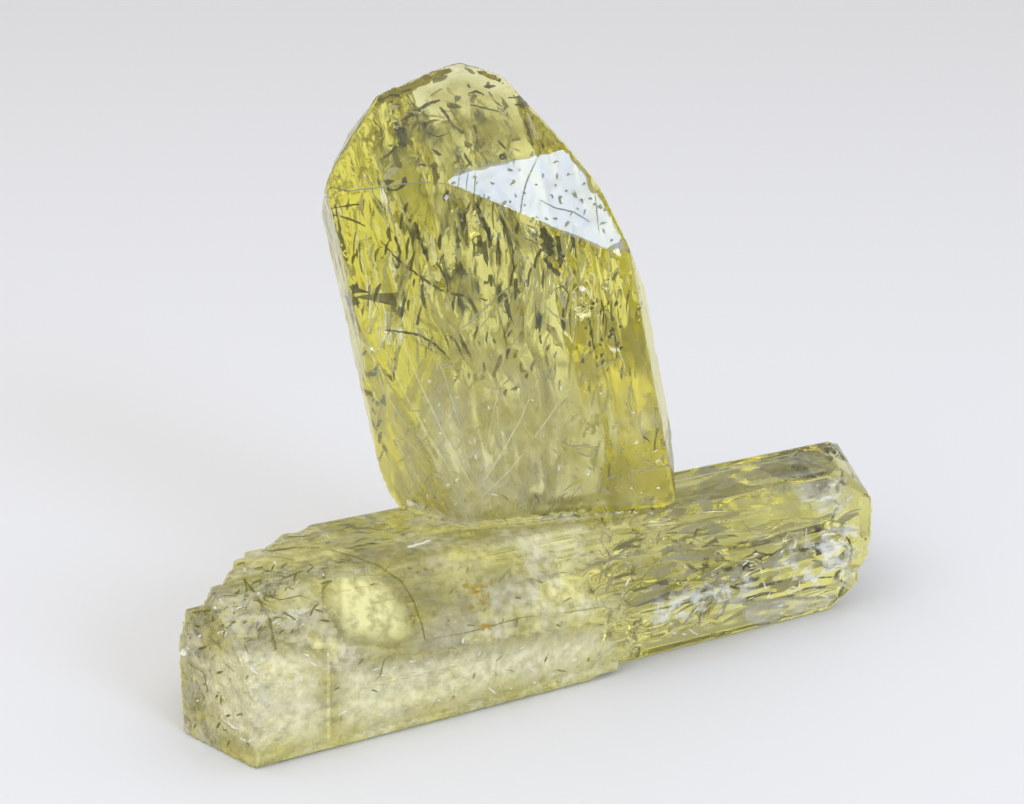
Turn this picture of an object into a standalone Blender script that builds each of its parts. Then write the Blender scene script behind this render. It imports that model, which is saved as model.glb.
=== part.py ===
"""Two brazilianite crystals grown into each other: one lies on a flat side, one stands on its back.

Both are convex crystals. Each is cut from a block, one crystal face at a time. Growth layers, steps,
ridges, chips and pits are then joined on or cut away, and everything is united into one solid.
Working lengths are millimetres in the lying crystal's frame: u along it, v across it to the back, z up.
The finished mesh is in metres and stands on z = 0, with the middle of its box at the origin.
"""

import math
import random

import bmesh
import bpy
from mathutils import Matrix, Vector
from mathutils.bvhtree import BVHTree

for old in list(bpy.data.objects):
    bpy.data.objects.remove(old)

NODE = "brazilianite_crystals"
METRE_PER_MM = 0.001
SEED = 41
BLOCK = 80.0

# The lying crystal points this many degrees away from the X axis, right end to the back
LYING_TURN = 29.7
LYING_LENGTH = 25.3
LYING_TOP = 5.2
LYING_WIDTH = 6.7

# Cross-section of its clear right part as v and z, from the front foot over the top to the back foot
LYING_SECTION = (
    (0.6, 0.0),
    (-0.05, 1.4),
    (-0.1, 3.0),
    (1.45, LYING_TOP),
    (4.8, LYING_TOP),
    (6.6, 3.4),
    (LYING_WIDTH, 1.2),
    (6.0, 0.0),
)

# The left part carries a later growth layer that stands proud of the right part
LAYER_TOP = 5.35
LAYER_WIDTH = 7.6
LAYER_WAIST = 3.1
LAYER_SECTION = (
    (0.0, 0.0),
    (-0.2, 0.2),
    (-0.3, LAYER_WAIST),
    (1.5, LAYER_TOP),
    (6.3, LAYER_TOP),
    (LAYER_WIDTH, 3.6),
    (LAYER_WIDTH, 1.0),
    (6.9, 0.0),
)

# End faces of the lying crystal: a point on the face, the way it faces from u, its tilt from upright
RIGHT_END_FACES = (
    ((LYING_LENGTH, -0.1, 2.7), -22.0, 104.0),
    ((25.5, 2.4, LYING_TOP), -52.0, 32.0),
    ((25.6, 2.4, LYING_TOP), -34.0, 38.0),
    ((25.3, -0.05, 1.6), -16.0, 112.0),
    ((24.2, 0.75, 0.0), -20.0, 132.0),
)
LEFT_END_FACES = (
    ((-0.05, 0.0, 0.0), -161.3, 91.0),
    ((-1.2, 3.4, 0.0), 157.0, 90.0),
    ((-0.4, 0.3, 0.0), -166.5, 128.5),
)
CORE_LEFT_END = ((1.2, 0.0, 0.0), 180.0, 78.0)
SECTION_MIDDLE = (3.4, 2.6)
CORE_MIDDLE = 12.0

# The layer's two belts end at the right in these faces, and overlap at the waist
LOW_BELT_END = ((12.7, 0.0, 0.0), 16.0, 100.0)
LOW_BELT_TOP = ((0.0, 0.0, LAYER_WAIST - 0.02), 0.0, 1.2)
HIGH_BELT_END = ((12.1, 0.0, LAYER_WAIST), -10.0, 112.0)
HIGH_BELT_FOOT = ((0.0, 0.0, 1.9), 0.0, 180.0)
BELT_INSET = 0.03
BAR_INSET = 0.012
STEPPED_END = ((-0.85, 1.5, LAYER_TOP), 134.5, 48.5)

# Bars of the stepped left end: back limit v, top z, left end u
END_BARS = (
    (5.25, 5.18, 1.95),
    (4.70, 5.26, 1.30),
    (3.95, 5.32, 0.85),
    (3.50, 5.22, 0.45),
    (2.95, 5.30, -0.15),
    (2.45, 5.14, -0.50),
    (1.95, 5.28, -0.85),
    (3.00, 4.60, -1.00),
    (3.40, 4.05, -1.15),
)

# Slices of the layer's ragged right end: bottom z, top z, right end u
RAGGED_END = (
    (0.12, 0.66, 13.85),
    (0.60, 1.22, 14.45),
    (1.16, 1.84, 14.20),
    (1.78, 2.36, 13.45),
    (2.30, 3.04, 13.90),
    (3.22, 3.80, 12.75),
    (3.74, 4.36, 13.25),
    (4.30, 4.82, 13.95),
    (4.76, 5.28, 13.50),
)

# The standing crystal: where its foot stands on the lying one, and how far it leans in degrees
STANDING_FOOT = Vector((9.6, 3.25, LYING_TOP))
LEAN_LEFT = 11.3
LEAN_BACK = 2.9

# Its heart is the point that the distances of its faces are measured from
HEART_UP = 10.0
HEART_IN = 3.4
HEART_ACROSS = 4.7

# Faces along the standing crystal: the way the face looks in degrees, its distance from the heart
FRONT_AZIMUTH = -78.0
PRISM_FACES = (
    (FRONT_AZIMUTH, HEART_IN),
    (-165.0, 7.0),
    (142.0, 4.5),
    (102.0, 3.6),
    (40.0, 2.45),
    (-12.0, 4.1),
)

# Faces of its head and its foot: the way the face looks, its tilt from upright, its distance
MIRROR_FACE = (-71.9, 71.4, 3.5)
HEAD_FACES = (
    MIRROR_FACE,
    (-82.2, 34.3, 4.36),
    (-89.2, 35.9, 4.65),
    (-78.2, 66.2, 4.0),
    (179.7, 71.5, 7.2),
    (-176.7, 54.4, 7.32),
    (141.6, 45.6, 6.33),
    (46.6, 42.9, 4.25),
    (11.5, 51.6, 3.12),
    (6.7, 64.7, 3.13),
    (-75.0, 14.0, 5.54),
)
FOOT_FACES = (
    (-136.7, 109.5, 7.65),
    (-77.6, 132.3, 9.25),
    (-12.0, 122.0, 9.95),
    (-162.0, 130.4, 10.2),
    (102.0, 126.0, 5.3),
    (40.0, 126.0, 7.1),
    (142.0, 126.0, 7.7),
)
FOOT_SUNK = 0.9

# Growth ridges: thin raised plates that run along a crystal, with these limits of size
RIDGE_LENGTH = (2.5, 8.0)
RIDGE_WIDTH = (0.12, 0.45)
RIDGE_HEIGHT = (0.03, 0.07)
RIDGE_SUNK = 0.25
LYING_RIDGES = 15
STANDING_RIDGES = 44
RIDGED_FACES = (0, 0, 3, 0, 2, 4, 0, 3)

# Where ridges may lie: along the lying crystal, along and across the standing one's faces
LEFT_RIDGES = (3.0, 9.5)
RIGHT_RIDGES = (16.5, 22.5)
STANDING_PLACES = (-6.5, -1.0)
FRONT_REACH = 3.9
SIDE_REACH = 1.4

# How far a plate's sides slope, how proud of other faces it may stand, and when a face is its own
PLATE_SLOPE = 0.35
PLATE_PROUD = 0.6
SAME_FACE = 0.995

# Growth steps set by eye: a point on the face, its length along the crystal, width and height
LINE_STEPS = (
    ((16.2, -0.1, 2.75), (4.6, 0.36, 0.12)),
    ((18.9, 0.9, 4.42), (4.2, 0.22, 0.08)),
    ((5.8, 3.9, LAYER_TOP), (5.2, 0.9, 0.07)),
    ((22.9, 2.9, LYING_TOP), (3.6, 1.5, 0.06)),
)

# Conchoidal chips and notches: where, and the radius of the piece that broke out
CHIPS = (
    ((-1.45, 3.2, 3.45), 0.42),
    ((15.05, 3.25, 17.2), 0.34),
    ((4.2, 6.75, 5.55), 0.55),
    ((6.8, 6.6, 9.9), 0.45),
    ((17.75, 2.9, 11.1), 0.30),
    ((18.35, 2.7, 7.1), 0.42),
    ((-0.35, -0.35, 3.2), 0.34),
    ((25.5, -0.3, 1.5), 0.42),
    ((26.9, 3.6, 5.5), 0.50),
    ((14.6, -0.35, 0.9), 0.33),
    ((9.2, 2.6, 5.1), 0.30),
    ((11.8, 9.8, 18.6), 0.36),
    ((20.5, 6.95, 3.3), 0.60),
    ((8.3, 8.0, 0.5), 0.75),
    ((17.4, 7.6, 9.5), 0.55),
    ((11.5, 11.2, 13.0), 0.70),
)

CHIP_OUT = 0.45

# Etch pits: sharp four-sided hollows, so many on each listed region with a centre, a spread and a size
PIT_REGIONS = (
    ((13.1, 3.75, 17.2), 1.5, 0.13, 9),
    ((0.4, -0.26, 1.6), 1.1, 0.20, 7),
    ((9.5, -0.22, 1.3), 2.6, 0.17, 8),
    ((13.0, 2.3, 8.0), 2.6, 0.16, 10),
    ((-0.75, 1.9, 1.7), 1.2, 0.20, 7),
    ((18.5, 0.6, 4.0), 2.4, 0.15, 8),
    ((12.0, 10.3, 11.0), 3.2, 0.26, 10),
    ((14.0, 7.6, 2.3), 6.0, 0.28, 12),
)
PIT_DEPTH = 0.4


def facing(azimuth, tilt):
    """Unit vector that looks azimuth degrees round from u and tilt degrees down from upright."""
    a = math.radians(azimuth)
    t = math.radians(tilt)
    return Vector((math.sin(t) * math.cos(a), math.sin(t) * math.sin(a), math.cos(t)))


def cut_from_block(faces, centre):
    """Mesh left of a block at centre when everything outside each (point, normal) face is cut away."""
    bm = bmesh.new()
    bmesh.ops.create_cube(bm, size=BLOCK, matrix=Matrix.Translation(centre))
    for point, normal in faces:
        everything = bm.verts[:] + bm.edges[:] + bm.faces[:]
        plane = {"plane_co": point, "plane_no": normal}
        bmesh.ops.bisect_plane(bm, geom=everything, dist=1e-6, clear_outer=True, **plane)
        rim = [edge for edge in bm.edges if edge.is_boundary]
        bmesh.ops.holes_fill(bm, edges=rim, sides=0)
    bmesh.ops.recalc_face_normals(bm, faces=bm.faces)
    return bm


def as_object(name, bm):
    """Object made of one bmesh, which is freed."""
    mesh = bpy.data.meshes.new(name)
    bm.to_mesh(mesh)
    bm.free()
    made = bpy.data.objects.new(name, mesh)
    bpy.context.scene.collection.objects.link(made)
    return made


def combine(target, tools, operation):
    """Join the tools to the target one after another, or cut them from it, and remove them."""
    for tool in tools:
        tool.hide_render = True
        tool.display_type = "WIRE"
        step = target.modifiers.new(tool.name, "BOOLEAN")
        step.operation = operation
        step.solver = "EXACT"
        step.object = tool
        bpy.context.view_layer.update()
        evaluated = target.evaluated_get(bpy.context.evaluated_depsgraph_get())
        finished = bpy.data.meshes.new_from_object(evaluated)
        target.modifiers.clear()
        target.data = finished
        bpy.data.objects.remove(tool)


def section_faces(section, inset=0.0):
    """Faces along u through each side of a cross-section given as v and z points, moved in by inset."""
    faces = []
    for here, there in zip(section, section[1:] + section[:1]):
        outward = Vector((0.0, here[1] - there[1], there[0] - here[0])).normalized()
        faces.append((Vector((0.0, here[0], here[1])) - inset * outward, outward))
    return faces


def end_faces(table):
    """Faces given as a point, a direction and a tilt."""
    return [(Vector(point), facing(azimuth, tilt)) for point, azimuth, tilt in table]


def lying_core():
    """The clear lying crystal, which runs on inside the growth layer at its left."""
    faces = section_faces(LYING_SECTION)
    faces += end_faces(RIGHT_END_FACES)
    faces += end_faces((CORE_LEFT_END,))
    return cut_from_block(faces, Vector((CORE_MIDDLE, *SECTION_MIDDLE)))


def layer_belt(extra, inset=0.0):
    """One piece of the growth layer: the layer's section and left end moved in by inset, and more faces."""
    faces = section_faces(LAYER_SECTION, inset)
    faces += [(point - inset * normal, normal) for point, normal in end_faces(LEFT_END_FACES)]
    faces += extra
    low = max(point.z for point, normal in faces if normal.z < -0.99)
    high = min(point.z for point, normal in faces if normal.z > 0.99)
    right = min(point.x for point, normal in faces if normal.x > 0.8)
    return cut_from_block(faces, Vector((right - 1.5, SECTION_MIDDLE[0], (low + high) / 2.0)))


def layer_belts():
    """The two belts of the layer, one below its waist and one above."""
    low = end_faces((STEPPED_END, LOW_BELT_END, LOW_BELT_TOP))
    high = end_faces((STEPPED_END, HIGH_BELT_END, HIGH_BELT_FOOT))
    return [layer_belt(low), layer_belt(high, BELT_INSET)]


def ragged_slices():
    """Slices of uneven length that break up the right end of the layer."""
    slices = []
    for number, (low, high, right) in enumerate(RAGGED_END):
        side = 1.0 if number % 2 else -1.0
        foot = (Vector((right, 0.0, low)), facing(90.0 * side, 177.0))
        top = (Vector((right, 0.0, high)), facing(-90.0 * side, 2.5))
        end = (Vector((right, 0.0, low)), facing(14.0 * side - 12.0, 94.0 + 7.0 * side))
        back = (Vector((9.0 + 0.2 * number, 0.0, 0.0)), facing(180.0, 84.0))
        inset = BELT_INSET + BAR_INSET * (number % 4 + 1)
        slices.append(layer_belt([foot, top, end, back], inset))
    return slices


def end_bars():
    """Bars of uneven length that make the stepped left end, each a little further in than the last."""
    bars = []
    for number, (back, top, left) in enumerate(END_BARS):
        bar_back = (Vector((0.0, back, LAYER_TOP)), facing(90.0, 78.0 + 3.0 * (number % 3)))
        bar_top = (Vector((left, back, top)), facing(205.0, 0.8 + 0.4 * (number % 2)))
        bar_left = (Vector((left, back, top)), facing(172.0 - 9.0 * (number % 3), 74.0 + 4.0 * (number % 2)))
        bar_right = (Vector((left + 3.6 + 0.45 * number, back, top)), facing(20.0, 80.0))
        bar_foot = (Vector((0.0, 0.0, top - 1.3 - 0.07 * number)), facing(0.0, 180.0))
        inset = BELT_INSET + BAR_INSET * (number + 1)
        bars.append(layer_belt([bar_back, bar_top, bar_left, bar_right, bar_foot], inset))
    return bars


def standing_axis():
    """Unit vector up the standing crystal."""
    left = -math.tan(math.radians(LEAN_LEFT))
    back = math.tan(math.radians(LEAN_BACK))
    leaning = Matrix.Rotation(-math.radians(LYING_TURN), 3, "Z") @ Vector((left, back, 1.0))
    return leaning.normalized()


def in_standing(azimuth):
    """World azimuth as an azimuth in the lying crystal's frame."""
    return azimuth - LYING_TURN


def standing_heart():
    """Point inside the standing crystal that its faces are measured from."""
    inward = -prism_normal(FRONT_AZIMUTH)
    across = facing(in_standing(FRONT_AZIMUTH + 90.0), 90.0)
    return STANDING_FOOT + HEART_UP * standing_axis() + HEART_IN * inward + HEART_ACROSS * across


def prism_normal(azimuth):
    """Outward normal of a face that runs along the leaning axis and looks the given way."""
    along = facing(in_standing(azimuth + 90.0), 90.0)
    return along.cross(standing_axis()).normalized()


def standing_faces():
    """All faces of the leaning crystal."""
    heart = standing_heart()
    faces = []
    for azimuth, distance in PRISM_FACES:
        normal = prism_normal(azimuth)
        faces.append((heart + distance * normal, normal))
    for azimuth, tilt, distance in HEAD_FACES + FOOT_FACES:
        normal = facing(in_standing(azimuth), tilt)
        faces.append((heart + distance * normal, normal))
    return faces


def standing_crystal():
    """The leaning crystal with its many-sided head and its undercut foot, sunk into the lying one."""
    sole = (Vector((0.0, 0.0, LYING_TOP - FOOT_SUNK)), facing(0.0, 180.0))
    return cut_from_block(standing_faces() + [sole], standing_heart())


def nearest_face(mesh, point):
    """Point on the mesh nearest to the given point, and the outward normal there."""
    tree = BVHTree.FromPolygons([v.co for v in mesh.vertices], [f.vertices for f in mesh.polygons])
    place, normal, _, _ = tree.find_nearest(point)
    return place, normal


def raised_plate(centre, along, outward, size, crystal=()):
    """Thin plate on a face, its sides sloping in and its foot sunk, that ends where the crystal ends."""
    length, width, height = size
    across = outward.cross(along).normalized()
    faces = [(centre + height * outward, outward), (centre - RIDGE_SUNK * outward, -outward)]
    for direction, reach in ((along, length / 2.0), (across, width / 2.0)):
        for side in (-1.0, 1.0):
            normal = (side * direction + PLATE_SLOPE * outward).normalized()
            faces.append((centre + side * reach * direction, normal))
    for point, normal in crystal:
        if normal.dot(outward) < SAME_FACE:
            faces.append((point + PLATE_PROUD * height * normal, normal))
    return cut_from_block(faces, centre)


def ridge_size(rng):
    """Length, width and height of one growth ridge."""
    return rng.uniform(*RIDGE_LENGTH), rng.uniform(*RIDGE_WIDTH), rng.uniform(*RIDGE_HEIGHT)


def section_ridge(section, strip, u, crystal, rng):
    """One ridge along u on a strip of a cross-section."""
    low = section[strip]
    high = section[strip + 1]
    outward = Vector((0.0, low[1] - high[1], high[0] - low[0])).normalized()
    from_middle = Vector((0.0, low[0] - SECTION_MIDDLE[0], low[1] - SECTION_MIDDLE[1]))
    outward = -outward if outward.dot(from_middle) < 0.0 else outward
    share = rng.uniform(0.15, 0.85)
    centre = Vector((u, low[0] + share * (high[0] - low[0]), low[1] + share * (high[1] - low[1])))
    return raised_plate(centre, Vector((1.0, 0.0, 0.0)), outward, ridge_size(rng), crystal)


def lying_ridges(rng):
    """Growth ridges on the front, the top and the back of the lying crystal."""
    right_part = section_faces(LYING_SECTION) + end_faces(RIGHT_END_FACES)
    left_part = section_faces(LAYER_SECTION) + end_faces(LEFT_END_FACES + (STEPPED_END,))
    plates = []
    for number in range(LYING_RIDGES):
        strip = 1 + number % 5
        plates.append(section_ridge(LAYER_SECTION, strip, rng.uniform(*LEFT_RIDGES), left_part, rng))
        plates.append(section_ridge(LYING_SECTION, strip, rng.uniform(*RIGHT_RIDGES), right_part, rng))
    return plates


def standing_ridges(rng):
    """Growth ridges along the standing crystal, all around it."""
    plates = []
    axis = standing_axis()
    heart = standing_heart()
    crystal = standing_faces()
    for number in range(STANDING_RIDGES):
        azimuth, distance = PRISM_FACES[RIDGED_FACES[number % len(RIDGED_FACES)]]
        normal = prism_normal(azimuth)
        across = normal.cross(axis).normalized()
        reach = FRONT_REACH if azimuth == FRONT_AZIMUTH else SIDE_REACH
        centre = heart + distance * normal + rng.uniform(-reach, reach) * across
        centre += rng.uniform(*STANDING_PLACES) * axis
        inside = all((point - centre).dot(other) > -1e-4 for point, other in crystal)
        if inside:
            plates.append(raised_plate(centre, axis, normal, ridge_size(rng), crystal))
    return plates


def set_steps(mesh):
    """The growth steps placed by eye."""
    plates = []
    for point, size in LINE_STEPS:
        place, normal = nearest_face(mesh, Vector(point))
        plates.append(raised_plate(place, Vector((1.0, 0.0, 0.0)), normal, size))
    return plates


def chips(mesh, rng):
    """Rounded many-sided cutters that leave conchoidal scars on edges and corners."""
    cutters = []
    for centre, radius in CHIPS:
        place, normal = nearest_face(mesh, Vector(centre))
        bm = bmesh.new()
        bmesh.ops.create_icosphere(bm, subdivisions=2, radius=radius)
        for vert in bm.verts:
            vert.co *= rng.uniform(0.9, 1.1)
        squash = Matrix.Diagonal((rng.uniform(0.8, 1.6), rng.uniform(0.8, 1.6), rng.uniform(0.8, 1.2), 1.0))
        turn = Matrix.Rotation(rng.uniform(0.0, math.tau), 4, "Z")
        move = Matrix.Translation(place + CHIP_OUT * radius * normal)
        bmesh.ops.transform(bm, matrix=move @ turn @ squash, verts=bm.verts)
        cutters.append(bm)
    return cutters


def etch_pits(mesh, rng):
    """Four-sided hollows scattered over the listed regions, one cutter for each."""
    cutters = []
    for centre, spread, size, count in PIT_REGIONS:
        for _ in range(count):
            near = Vector(centre) + Vector([rng.uniform(-spread, spread) for _ in range(3)])
            place, normal = nearest_face(mesh, near)
            half = size * rng.uniform(0.6, 1.5)
            bm = bmesh.new()
            bmesh.ops.create_cone(bm, segments=4, radius1=0.0, radius2=half, depth=half, cap_ends=True)
            turn = normal.to_track_quat("Z", "Y").to_matrix().to_4x4()
            long = Matrix.Diagonal((rng.uniform(1.0, 2.2), 1.0, 1.0, 1.0))
            spin = Matrix.Rotation(rng.uniform(-0.3, 0.3), 4, "Z")
            high = place + normal * half * (0.5 - PIT_DEPTH)
            bmesh.ops.transform(bm, matrix=Matrix.Translation(high) @ turn @ spin @ long, verts=bm.verts)
            bmesh.ops.recalc_face_normals(bm, faces=bm.faces)
            cutters.append(bm)
    return cutters


def place_in_world(mesh):
    """Turn the finished mesh, stand it over the origin and scale it to metres."""
    mesh.transform(Matrix.Rotation(math.radians(LYING_TURN), 4, "Z"))
    low = Vector([min(v.co[i] for v in mesh.vertices) for i in range(3)])
    high = Vector([max(v.co[i] for v in mesh.vertices) for i in range(3)])
    middle = (low + high) / 2.0
    mesh.transform(Matrix.Translation(-Vector((middle.x, middle.y, low.z))))
    mesh.transform(Matrix.Scale(METRE_PER_MM, 4))


def crystal_material():
    """Clear yellow-green mineral."""
    made = bpy.data.materials.new("brazilianite")
    made.use_nodes = True
    shader = made.node_tree.nodes["Principled BSDF"]
    shader.inputs["Base Color"].default_value = (0.60, 0.62, 0.18, 1.0)
    shader.inputs["Roughness"].default_value = 0.08
    shader.inputs["Metallic"].default_value = 0.0
    shader.inputs["IOR"].default_value = 1.61
    shader.inputs["Transmission Weight"].default_value = 0.8
    return made


def as_tools(name, pieces):
    """Objects made of several bmeshes."""
    return [as_object("%s_%d" % (name, number), piece) for number, piece in enumerate(pieces)]


def build():
    """Make the specimen."""
    rng = random.Random(SEED)
    body = as_object(NODE, lying_core())
    combine(body, as_tools("growth", layer_belts() + end_bars() + ragged_slices()), "UNION")
    combine(body, as_tools("crystal", [standing_crystal()]), "UNION")
    combine(body, as_tools("step", set_steps(body.data)), "UNION")
    combine(body, as_tools("ridge", lying_ridges(rng) + standing_ridges(rng)), "UNION")
    combine(body, as_tools("chip", chips(body.data, rng)), "DIFFERENCE")
    combine(body, as_tools("pit", etch_pits(body.data, rng)), "DIFFERENCE")
    place_in_world(body.data)
    body.data.materials.clear()
    body.data.materials.append(crystal_material())


build()
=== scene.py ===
"""Looks of the brazilianite specimen: a finely etched, clear yellow-green surface and what the crystals hold.

Places are written in millimetres in the lying crystal's frame: u along it, v across it to the back, z up.
"""

import math
import random

import bmesh
import bpy
import numpy as np
from mathutils import Matrix, Vector, geometry
from mathutils.bvhtree import BVHTree


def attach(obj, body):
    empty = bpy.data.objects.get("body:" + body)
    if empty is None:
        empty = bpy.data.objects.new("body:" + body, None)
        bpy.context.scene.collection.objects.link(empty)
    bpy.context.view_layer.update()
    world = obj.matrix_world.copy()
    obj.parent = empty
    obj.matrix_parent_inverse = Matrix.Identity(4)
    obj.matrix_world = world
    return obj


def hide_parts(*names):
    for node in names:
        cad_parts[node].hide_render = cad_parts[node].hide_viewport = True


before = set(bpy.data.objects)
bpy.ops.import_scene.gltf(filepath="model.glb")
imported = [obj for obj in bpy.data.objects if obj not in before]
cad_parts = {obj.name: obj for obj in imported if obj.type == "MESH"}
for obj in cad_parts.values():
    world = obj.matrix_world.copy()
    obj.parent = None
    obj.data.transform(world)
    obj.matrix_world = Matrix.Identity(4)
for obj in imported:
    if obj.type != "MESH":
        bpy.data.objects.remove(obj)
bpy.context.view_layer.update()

NODE = "brazilianite_crystals"
MM = 0.001

# The lying crystal's frame in the part: its turn about Z and the middle of the part's box in it
LYING_TURN = math.radians(29.7)
MIDDLE = Vector((9.4956, 9.6658, 0.0))
LYING_TOP = 5.2

# The standing crystal leans to the left and back, and its front and mirror faces look these ways
LEAN_LEFT = 11.3
LEAN_BACK = 2.9
FRONT_AZIMUTH = -78.0
MIRROR_FACE = (-71.9, 71.4)

# Grain of the finely meshed surface, in millimetres
VOXEL = 0.123

# How far the cloudy film lies outside the surface, and where along and up the lying crystal it opens a window
FROST_OUT = 0.012
WINDOW = (5.6, 3.6)

# Brightness of the surroundings at places from straight below, 0, to straight above, 1
SKY = ((0.0, 0.6), (1.0, 0.9), (0.5, 0.7), (0.56, 0.7), (0.62, 0.34), (0.71, 0.34), (0.8, 1.0))
SKY_STRENGTH = 1.11

# Zones of open cracks: lowest and highest corner, how many, half lengths, half widths, which crystal
CRACK_ZONES = (
    ((7.4, 4.9, 11.8), (12.8, 8.4, 17.0), 64, (0.2, 0.8), (0.06, 0.24), "standing"),
    ((12.0, 3.4, 11.0), (15.6, 6.6, 15.6), 36, (0.2, 0.7), (0.06, 0.26), "standing"),
    ((8.6, 6.5, 17.2), (13.4, 8.6, 19.4), 14, (0.15, 0.6), (0.06, 0.26), "standing"),
    ((8.0, 4.4, 6.5), (14.5, 8.0, 11.5), 10, (0.2, 0.9), (0.03, 0.12), "standing"),
    ((10.5, 3.6, 7.0), (16.5, 6.0, 11.5), 8, (0.2, 0.7), (0.05, 0.22), "standing"),
    ((0.3, 0.6, 3.0), (5.5, 3.6, 4.9), 30, (0.3, 1.2), (0.05, 0.2), "lying"),
    ((-0.6, 0.6, 0.6), (1.8, 3.4, 4.2), 22, (0.2, 0.7), (0.05, 0.2), "lying"),
    ((14.5, 0.5, 0.8), (24.5, 3.6, 4.6), 46, (0.35, 1.5), (0.06, 0.32), "lying"),
    ((6.5, 0.3, 0.5), (13.5, 3.0, 4.4), 22, (0.2, 0.8), (0.04, 0.14), "lying"),
)

# Cloudy sheets, by kind: centre, the ways they run, half sizes, how strongly they cover
VEILS = {
    "milky": (
        ((10.6, 3.75, 8.0), "axis", "across", (3.4, 3.4), 1.0),
        ((11.0, 4.6, 8.2), "axis", "across", (3.7, 3.6), 1.0),
        ((11.3, 5.9, 8.4), "axis", "across", (3.9, 3.7), 1.0),
        ((5.2, 0.3, 2.6), "u", "up", (5.6, 1.9), 1.0),
        ((6.0, 1.0, 2.6), "u", "up", (6.6, 2.2), 1.0),
        ((6.4, 2.2, 2.5), "u", "up", (7.0, 2.4), 1.0),
        ((19.0, 2.4, 2.4), "u", "up", (5.0, 1.8), 0.45),
    ),
    "tinted": (
        ((10.6, 6.2, 18.2), "axis", "across", (2.6, 3.2), 1.0),
        ((13.2, 4.6, 8.6), "axis", "front", (3.4, 1.6), 1.0),
        ((11.0, 6.4, 13.5), "axis", "across", (4.0, 3.6), 0.45),
    ),
    "streaked": (
        ((10.9, 4.7, 14.0), "axis", "across", (3.5, 3.4), 1.0),
        ((10.8, 5.8, 14.4), "axis", "across", (3.6, 3.5), 1.0),
        ((13.4, 5.2, 12.6), "axis", "front", (3.4, 1.5), 0.8),
        ((10.8, 6.6, 17.9), "axis", "across", (2.0, 3.0), 0.9),
        ((10.8, 7.6, 18.3), "axis", "across", (2.0, 2.6), 0.9),
        ((9.6, 6.6, 17.6), "axis", "front", (1.8, 1.6), 0.8),
    ),
}

# What each kind of sheet is like: dark and light colour, dark share, cover, threshold, softness, scale and
# distortion of its noise
VEIL_KINDS = {
    "milky": ((0.98, 0.93, 0.6), (0.995, 0.98, 0.9), 0.5, 0.85, 0.5, 0.07, (2.0, 0.5, 1.0), 0.0),
    "tinted": ((0.46, 0.43, 0.05), (0.9, 0.85, 0.18), 0.5, 0.66, 0.44, 0.14, (0.9, 0.45, 1.0), 0.0),
    "streaked": ((0.12, 0.12, 0.02), (0.95, 0.9, 0.36), 0.5, 0.9, 0.56, 0.045, (2.0, 0.55, 1.0), 0.8),
}

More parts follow.
